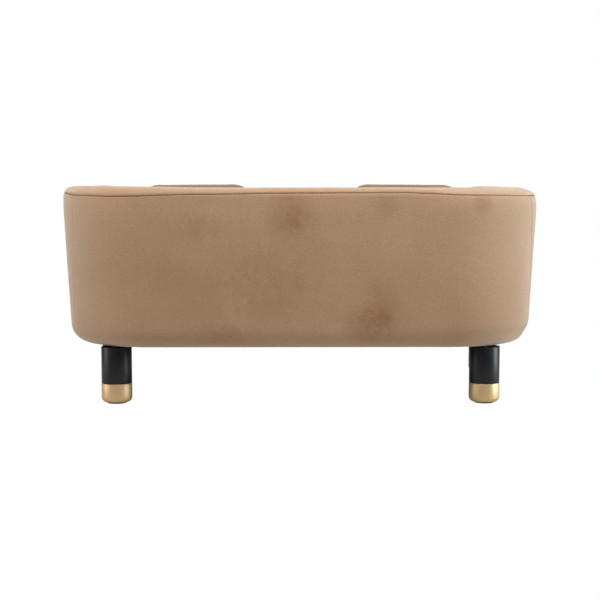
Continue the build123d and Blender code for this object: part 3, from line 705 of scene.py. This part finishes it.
# A full turn of a (radius, z) profile about an upright axis at (x, y)
def turnedPiece(name, profile, x, y, material):
    bm = bmesh.new()
    verts = [bm.verts.new((x + r, y, z)) for r, z in profile]
    edges = [bm.edges.new(pair) for pair in zip(verts, verts[1:])]
    bmesh.ops.spin(bm, geom=verts + edges, cent=(x, y, 0), axis=(0, 0, 1), angle=2 * math.pi,
                   steps=leg["steps"], use_merge=True)
    bmesh.ops.remove_doubles(bm, verts=bm.verts[:], dist=1e-6)
    bmesh.ops.recalc_face_normals(bm, faces=bm.faces[:])
    return finishMesh(name, bm, material)


# Keeps edges sharper than the angle crisp under smooth shading
def crease(piece, angle=35):
    bm = bmesh.new()
    bm.from_mesh(piece.data)
    for edge in bm.edges:
        if len(edge.link_faces) == 2 and edge.calc_face_angle() > math.radians(angle):
            edge.smooth = False
    bm.to_mesh(piece.data)
    bm.free()


legPlaces = {}
for place in ("back_left", "back_right", "front_left", "front_right"):
    low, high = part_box(f"leg_{place}")
    x, y = (low.x + high.x) / 2, (low.y + high.y) / 2
    legPlaces[place] = (x, y)
    r, top, tip, base = leg["radius"], leg["top"], leg["tipTop"], leg["base"]
    wood = [(0, tip + 0.0002), (r - 0.0014, tip + 0.0002), (r - 0.0004, tip + 0.0010),
            (r - 0.0002, tip + 0.002), (r - 0.0002, top - 0.0006), (r - 0.0006, top), (0, top)]
    woodPiece = turnedPiece(f"legWood_{place}", wood, x, y, blackWood)
    crease(woodPiece)
    metal = [(0, base)] + arcPoints((r - leg["round"], base + leg["round"]), leg["round"], 270, 360, 8)
    metal += [(r, tip - 0.0006), (r - 0.0003, tip - 0.0001), (r - 0.0014, tip - 0.0001), (0, tip - 0.0001)]
    tipPiece = turnedPiece(f"legTip_{place}", metal, x, y, goldMetal)
    crease(tipPiece)
    for piece, node, slot in ((woodPiece, f"leg_{place}", "black_wood"),
                              (tipPiece, f"leg_tip_{place}", "gold_metal")):
        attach(piece, "sofa_frame")
        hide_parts(node)

# Staples that hold the dust cloth
staple = {
    "inset": 0.056, "spacing": 0.042, "long": 0.010, "wire": 0.0009, "front": -0.211, "end": 0.02,
    "legRoom": 0.031,
}


def staplesPiece():
    low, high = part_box("dust_cover")
    spots = []
    count = round(wholeRun / staple["spacing"])
    for k in range(count + 1):
        x, y, out = planAt(wholeRun * k / count, staple["inset"])
        if y > staple["front"] + staple["end"]:
            spots.append((x, y, math.atan2(out.y, out.x) + math.pi / 2))
    frontRun = high.x - low.x - 2 * staple["end"]
    frontCount = round(frontRun / staple["spacing"])
    for k in range(frontCount + 1):
        spots.append((low.x + staple["end"] + frontRun * k / frontCount, staple["front"], 0))
    bm = bmesh.new()
    for x, y, turn in spots:
        if min(math.dist((x, y), place) for place in legPlaces.values()) < staple["legRoom"]:
            continue
        size = Matrix.Diagonal((staple["long"], staple["wire"], staple["wire"] / 2, 1))
        spot = Matrix.Translation((x, y, low.z - staple["wire"] / 4)) @ Matrix.Rotation(turn, 4, "Z")
        bmesh.ops.create_cube(bm, size=1.0, matrix=spot @ size)
    piece = finishMesh("dustStaples", bm, zincSteel, smooth=False)
    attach(piece, "sofa_frame")


staplesPiece()
print("legs and staples done")

# Soft forms: seat cushion and pillows, swelled as cloth over pressure


# A rounded outline whose straight sides are drawn in, as points about spacing apart
def softLoop(halfX, front, back, frontRound, backRound, draw, spacing):
    corners = [
        ((halfX - backRound, back - backRound), backRound, 0),
        ((backRound - halfX, back - backRound), backRound, 90),
        ((frontRound - halfX, front + frontRound), frontRound, 180),
        ((halfX - frontRound, front + frontRound), frontRound, 270),
    ]
    arcs = [arcPoints(c, r, a, a + 90, max(4, round(r * 1.57 / spacing))) for c, r, a in corners]
    loop = []
    for k, arc in enumerate(arcs):
        loop += arc
        start, end = arc[-1], arcs[(k + 1) % 4][0]
        length = math.dist(start, end)
        count = max(2, round(length / spacing))
        for step in range(1, count):
            part = step / count
            pull = draw * 4 * part * (1 - part)
            loop.append((start[0] + (end[0] - start[0]) * part - (end[1] - start[1]) / length * pull,
                         start[1] + (end[1] - start[1]) * part + (end[0] - start[0]) / length * pull))
    return loop


# The loop drawn in towards the nearest point of a core rectangle (x0, x1, y0, y1)
def insetLoop(loop, core, inset):
    result = []
    for x, y in loop:
        cx = max(core[0], min(core[1], x))
        cy = max(core[2], min(core[3], y))
        away = max(math.dist((x, y), (cx, cy)), 1e-6)
        keep = max(0.02, (away - inset) / away)
        result.append((cx + (x - cx) * keep, cy + (y - cy) * keep))
    return result


# A closed form through rings of equal point counts
def ringForm(rings):
    count = len(rings[0])
    bm = sheetGrid(list(range(count + 1)), list(range(len(rings))), lambda c, r: Vector(rings[r][c % count]))
    bmesh.ops.remove_doubles(bm, verts=bm.verts[:], dist=1e-5)
    bmesh.ops.holes_fill(bm, edges=[e for e in bm.edges if e.is_boundary], sides=0)
    bmesh.ops.recalc_face_normals(bm, faces=bm.faces[:])
    return bm


def applyModifiers(piece):
    depsgraph = bpy.context.evaluated_depsgraph_get()
    made = bpy.data.meshes.new_from_object(piece.evaluated_get(depsgraph))
    before = piece.data
    piece.modifiers.clear()
    piece.data = made
    bpy.data.meshes.remove(before)


# Voxel remesh, then cloth over pressure with no gravity; no point moves further than cap
def swell(piece, voxel, pressure, cap, held, frames=20):
    remesh = piece.modifiers.new("Remesh", "REMESH")
    remesh.mode = "VOXEL"
    remesh.voxel_size = voxel
    remesh.use_smooth_shade = True
    applyModifiers(piece)
    start = [v.co.copy() for v in piece.data.vertices]
    group = piece.vertex_groups.new(name="held")
    for vert in piece.data.vertices:
        weight = held(vert.co)
        if weight > 0:
            group.add([vert.index], weight, "REPLACE")
    cloth = piece.modifiers.new("Cloth", "CLOTH")
    cloth.point_cache.frame_start = 1
    cloth.point_cache.frame_end = frames
    cloth.settings.quality = 6
    cloth.settings.use_pressure = True
    cloth.settings.uniform_pressure_force = pressure
    cloth.settings.effector_weights.gravity = 0
    cloth.settings.vertex_group_mass = "held"
    cloth.collision_settings.use_collision = False
    for step in range(1, frames + 1):
        bpy.context.scene.frame_set(step)
    applyModifiers(piece)
    bpy.context.scene.frame_set(1)
    for vert, was in zip(piece.data.vertices, start):
        move = vert.co - was
        if move.length > cap:
            vert.co = was + move * (cap / move.length)
    subdivision = piece.modifiers.new("Subdivision", "SUBSURF")
    subdivision.levels = subdivision.render_levels = 1
    applyModifiers(piece)
    for face in piece.data.polygons:
        face.use_smooth = True


cushion = {
    "halfX": 0.308, "front": -0.234, "back": 0.1655, "frontRound": 0.030, "backRound": 0.078,
    "bottom": 0.1305, "height": 0.080, "crown": 0.010, "edge": 0.007, "reach": 0.115, "draw": 0.003,
    "core": (-0.13, 0.13, -0.06, 0.0), "slack": 0.0016, "voxel": 0.006, "pressure": 4.0, "cap": 0.005,
    "seam": 0.0017, "seamWidth": 0.0034, "boxing": (0.0065, 0.069), "zipRoom": 0.0085, "spacing": 0.008,
    "under": (0.055, 0.030, 0.015), "edgeRings": 5, "sideRings": 8, "crownRings": 14,
}


def seatCushion():
    c = cushion
    outline = softLoop(c["halfX"], c["front"], c["back"], c["frontRound"], c["backRound"], c["draw"],
                       c["spacing"])
    low, boxTop = c["bottom"], c["bottom"] + c["height"] - c["crown"]

    def ring(inset, z):
        return [(x, y, z) for x, y in insetLoop(outline, c["core"], inset + c["slack"])]

    rings = [ring(inset, low) for inset in c["under"]]
    for k in range(c["edgeRings"] + 1):
        turn = math.pi / 2 * k / c["edgeRings"]
        rings.append(ring(c["edge"] * (1 - math.sin(turn)), low + c["edge"] * (1 - math.cos(turn))))
    boxRun = boxTop - low - c["edge"]
    rings += [ring(0, low + c["edge"] + boxRun * k / c["sideRings"]) for k in range(1, c["sideRings"] + 1)]
    for k in range(1, c["crownRings"] + 1):
        turn = math.pi / 2 * k / c["crownRings"]
        crownZ = boxTop + (c["crown"] - c["slack"]) * math.sin(turn)
        rings.append(ring(c["reach"] * (1 - math.cos(turn)), crownZ))
    piece = finishMesh("seatCushion", ringForm(rings), velvet)
    swell(piece, c["voxel"], c["pressure"], c["cap"], lambda co: 1.0 if co.z < low + 0.003 else 0.0)
    zipLow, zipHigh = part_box("zip_tape")
    top = low + c["height"]
    for vert in piece.data.vertices:
        co = vert.co
        soft = 0.0010 * noiseAt(co, 11, 6.6) + 0.0004 * noiseAt(co, 30, 2.6)
        if co.z > boxTop:
            co.z = min(co.z + soft, top - 0.0001)
        side = math.hypot(max(abs(co.x) - c["core"][1], 0), max(co.y - c["core"][3], c["core"][2] - co.y, 0))
        for height in c["boxing"]:
            away = (co.z - low - height) / c["seamWidth"]
            if side > 0.02 and abs(away) < 3:
                co.x, co.y = insetLoop([(co.x, co.y)], c["core"], c["seam"] * math.exp(-away * away))[0]
        co.z = max(co.z, low)
        co.x = max(-c["halfX"] - 0.0008, min(c["halfX"] + 0.0008, co.x))
        co.y = max(c["front"] - 0.0015, min(c["back"] + 0.0006, co.y))
        inZip = abs(co.x) < zipHigh.x + 0.003 and abs(co.z - (zipLow.z + zipHigh.z) / 2) < c["zipRoom"]
        if inZip and co.y > 0.15:
            co.y = min(co.y, zipLow.y + 0.0006)
    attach(piece, "seat_cushion")
    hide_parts("cushion_cover", "cushion_foam")
    return piece


# A stitch row that follows a closed path (x, y, z) on the surface of a piece
def stitchesOn(name, piece, path, body, sink):
    tree = BVHTree.FromObject(piece, bpy.context.evaluated_depsgraph_get())
    lengths = [0.0]
    closed = path + [path[0]]
    for first, second in zip(closed, closed[1:]):
        lengths.append(lengths[-1] + math.dist(first, second))
    count = round(lengths[-1] / stitch["pitch"])
    points = []
    k = 0
    for step in range(count + 2):
        want = lengths[-1] * (step % count) / count
        k = k if lengths[k] <= want else 0
        while k < len(closed) - 2 and lengths[k + 1] < want:
            k += 1
        part = (want - lengths[k]) / max(lengths[k + 1] - lengths[k], 1e-9)
        near = Vector(closed[k]).lerp(Vector(closed[k + 1]), part)
        spot, normal, _, _ = tree.find_nearest(near)
        points.append(spot - normal * sink)
    stitchRow(name, points, body)


seatPiece = seatCushion()
for rowName, height in zip(("cushionStitchesLow", "cushionStitchesTop"), cushion["boxing"]):
    cushionPath = softLoop(cushion["halfX"] - 0.002, cushion["front"] + 0.002, cushion["back"] - 0.002,
                           cushion["frontRound"], cushion["backRound"], cushion["draw"], cushion["spacing"])
    cushionPath = [(x, y, cushion["bottom"] + height) for x, y in cushionPath]
    stitchesOn(rowName, seatPiece, cushionPath, "seat_cushion", 0.0001)
print("seat cushion done")

# Zip teeth on the chain
zipTeeth = {"pitch": 0.0026, "long": 0.0014, "rise": 0.00024, "high": 0.0036, "end": 0.003}


def zipTeethPiece():
    low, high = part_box("zip_tape")
    bm = bmesh.new()
    run = high.x - low.x - 2 * zipTeeth["end"]
    count = int(run / zipTeeth["pitch"])
    for k in range(count + 1):
        x = low.x + zipTeeth["end"] + run * k / count
        size = Matrix.Diagonal((zipTeeth["long"], zipTeeth["rise"], zipTeeth["high"], 1))
        spot = Vector((x, high.y + 0.00003, (low.z + high.z) / 2))
        bmesh.ops.create_cube(bm, size=1.0, matrix=Matrix.Translation(spot) @ size)
    piece = finishMesh("zipTeeth", bm, zipMetal, smooth=False)
    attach(piece, "seat_cushion")


zipTeethPiece()

# Toss pillows, made lying flat and then leaned on the inner panel
pillow = {
    "halfX": 0.085, "halfY": 0.069, "thick": 0.031, "corner": 0.026, "draw": 0.0006, "spacing": 0.005,
    "lean": 26.0, "roll": 0.4, "rise": 0.0016, "reach": 0.055, "core": (-0.028, 0.028, -0.012, 0.012),
    "flat": 0.80, "lens": 1.35, "slack": 0.003, "rings": 11, "voxel": 0.0035, "pressure": 4.0, "cap": 0.012,
    "fold": 0.0011, "foldReach": 0.013, "foldLength": 0.017, "foldSink": 0.0006, "foldFrom": 0.012,
    "lip": 0.0012, "lipWidth": 0.0022,
}


# Largest distance of the vertices from the middle, along an axis
def reachOf(verts, axis):
    return max(abs(vert.co[axis]) for vert in verts)


# Low and high corners of the vertices once turned
def turnedBox(verts, turn):
    spots = [turn @ vert.co for vert in verts]
    return (Vector([min(spot[k] for spot in spots) for k in range(3)]),
            Vector([max(spot[k] for spot in spots) for k in range(3)]))


def pillowForm(name, outline):
    p = pillow

    def ring(inset, z):
        return [(x, y, z) for x, y in insetLoop(outline, p["core"], inset + p["slack"])]

    upper = []
    for k in range(p["rings"] + 1):
        turn = math.pi / 2 * k / p["rings"]
        height = math.sin(turn) ** p["lens"] * p["thick"] * p["flat"]
        upper.append(((1 - math.cos(turn)) * p["reach"], height))
    rings = [ring(inset, -z) for inset, z in upper[:0:-1]] + [ring(inset, z) for inset, z in upper]
    piece = finishMesh(name, ringForm(rings), velvetPillowShaded)
    swell(piece, p["voxel"], p["pressure"], p["cap"], lambda co: 1.0 if abs(co.z) < 0.003 else 0.0)
    return piece


# Brings the swelled form to size, with folds off its seam and a thin lip at it
def pillowFolds(verts, side):
    p = pillow
    reachX, reachY, reachZ = [reachOf(verts, axis) for axis in range(3)]
    for vert in verts:
        co = vert.co
        soft = 0.0012 * noiseAt(co, 24, 3.0 + side) + 0.0005 * noiseAt(co, 60, 8.0 + side)
        co.x *= (p["halfX"] - p["lip"]) / reachX
        co.y *= (p["halfY"] - p["lip"]) / reachY
        co.z *= (p["thick"] - 0.0008) / reachZ
        face = math.copysign(min(1, abs(co.z) / p["foldFrom"]), co.z)
        edge = min(p["halfX"] - abs(co.x), p["halfY"] - abs(co.y))
        around = co.x if p["halfY"] - abs(co.y) < p["halfX"] - abs(co.x) else co.y
        wave = math.sin(2 * math.pi * around / p["foldLength"] + 4 * noiseAt(co, 15, 6.0 + side))
        fold = p["fold"] * (0.5 + 0.5 * wave) * math.exp(-max(0, edge) / p["foldReach"])
        co.z += soft * abs(face) - face * (p["foldSink"] + fold)
        lip = p["lip"] * bell(co.z, p["lipWidth"])
        away = math.hypot(co.x, co.y)
        co.x += co.x / away * lip
        co.y += co.y / away * lip


def pillowPiece(name, side, body, node):
    p = pillow
    low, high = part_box(f"pillow_cover_{node}")
    outline = softLoop(p["halfX"], -p["halfY"], p["halfY"], p["corner"], p["corner"], p["draw"], p["spacing"])
    piece = pillowForm(name, outline)
    verts = piece.data.vertices
    pillowFolds(verts, side)
    lean = Matrix.Rotation(math.radians(90 - p["lean"]), 4, "X")
    turn = lean @ Matrix.Rotation(math.radians(-side * p["roll"]), 4, "Z")
    lows, highs = turnedBox(verts, turn)
    missing = (high.z - low.z) - (highs.z - lows.z)
    stretch = 1 + missing / (2 * p["halfY"] * math.cos(math.radians(p["lean"])))
    for vert in verts:
        vert.co.y *= stretch
        middle = 1 - min(1, abs(vert.co.x / p["halfX"])) ** 2
        vert.co.y += p["rise"] * max(0, vert.co.y / p["halfY"]) * middle
    lows, highs = turnedBox(verts, turn)
    shift = Vector(((low.x + high.x) / 2 - (lows.x + highs.x) / 2, high.y - highs.y, low.z - lows.z))
    place = Matrix.Translation(shift) @ turn
    for vert in verts:
        vert.co = place @ vert.co
    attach(piece, body)
    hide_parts(f"pillow_cover_{node}", f"pillow_fill_{node}")
    seamPath = [Vector((x, y * stretch, 0)) for x, y in insetLoop(outline, p["core"], p["lip"])]
    stitchesOn(name + "Stitches", piece, [tuple(place @ spot) for spot in seamPath], body, 0.0002)


pillowPiece("pillowLeft", -1, "pillow_left", "left")
pillowPiece("pillowRight", 1, "pillow_right", "right")
print("pillows done")

# Floor, lights, camera
stage = {
    "floor": 6.0, "floorColour": 0.6, "world": 0.21, "aimY": 0.040, "pitch": 4.91, "distance": 2.300,
    "height": 0.3473, "azimuth": 179.54, "lens": 83.36,
}


def whiteFloor():
    bm = bmesh.new()
    bmesh.ops.create_grid(bm, x_segments=4, y_segments=4, size=stage["floor"])
    material, nodes, links, shader = newMaterial("paleFloor")
    shader.inputs["Base Color"].default_value = (stage["floorColour"],) * 3 + (1,)
    shader.inputs["Roughness"].default_value = 0.8
    path = nodes.new("ShaderNodeLightPath")
    white = addNode(nodes, "ShaderNodeEmission", Color=(1, 1, 1, 1), Strength=1.0)
    mix = nodes.new("ShaderNodeMixShader")
    output = nodes["Material Output"]
    links.new(path.outputs["Is Camera Ray"], mix.inputs["Fac"])
    links.new(shader.outputs["BSDF"], mix.inputs[1])
    links.new(white.outputs["Emission"], mix.inputs[2])
    links.new(mix.outputs["Shader"], output.inputs["Surface"])
    floor = finishMesh("floor", bm, material, smooth=False)


whiteFloor()


# Even light all round; the camera itself sees plain white
def studioWorld():
    world = bpy.data.worlds.new("studio")
    bpy.context.scene.world = world
    world.use_nodes = True
    nodes, links = world.node_tree.nodes, world.node_tree.links
    background = nodes["Background"]
    background.inputs["Color"].default_value = (1, 1, 1, 1)
    background.inputs["Strength"].default_value = stage["world"]
    white = addNode(nodes, "ShaderNodeBackground", Color=(1, 1, 1, 1), Strength=1.0)
    path = nodes.new("ShaderNodeLightPath")
    mix = nodes.new("ShaderNodeMixShader")
    links.new(path.outputs["Is Camera Ray"], mix.inputs["Fac"])
    links.new(background.outputs["Background"], mix.inputs[1])
    links.new(white.outputs["Background"], mix.inputs[2])
    links.new(mix.outputs["Shader"], nodes["World Output"].inputs["Surface"])


studioWorld()


def areaLamp(name, place, target, size, power, colour=(1, 1, 1)):
    lamp = bpy.data.lights.new(name, "AREA")
    lamp.shape = "RECTANGLE"
    lamp.size, lamp.size_y = size
    lamp.energy = power
    lamp.color = colour
    holder = bpy.data.objects.new(name, lamp)
    holder.location = place
    holder.rotation_euler = (Vector(target) - Vector(place)).to_track_quat("-Z", "Y").to_euler()
    bpy.context.scene.collection.objects.link(holder)


areaLamp("topSoft", (0.0, 0.9, 2.4), (0, 0, 0.2), (2.6, 1.8), 92)
areaLamp("rightSoft", (-2.6, 0.3, 0.6), (-0.2, 0.1, 0.2), (1.2, 1.2), 58, (0.83, 0.94, 1.0))
areaLamp("leftSoft", (2.6, 0.5, 0.8), (0.2, 0.1, 0.2), (1.2, 1.4), 24)
areaLamp("frontSoft", (0.4, -2.4, 1.4), (0, 0, 0.2), (2.2, 1.4), 14)


def addCamera():
    camera = bpy.data.cameras.new("camera")
    camera.lens = stage["lens"]
    camera.sensor_width = 36
    holder = bpy.data.objects.new("camera", camera)
    turn = math.radians(stage["azimuth"])
    back = (math.sin(turn) * stage["distance"], -math.cos(turn) * stage["distance"], stage["height"])
    holder.location = Vector((0, stage["aimY"], 0)) + Vector(back)
    toward = Vector((-math.sin(turn), math.cos(turn), -math.tan(math.radians(stage["pitch"]))))
    holder.rotation_euler = toward.to_track_quat("-Z", "Y").to_euler()
    bpy.context.scene.collection.objects.link(holder)
    bpy.context.scene.camera = holder


addCamera()
bpy.context.scene.view_settings.view_transform = "Standard"

print("scene done")
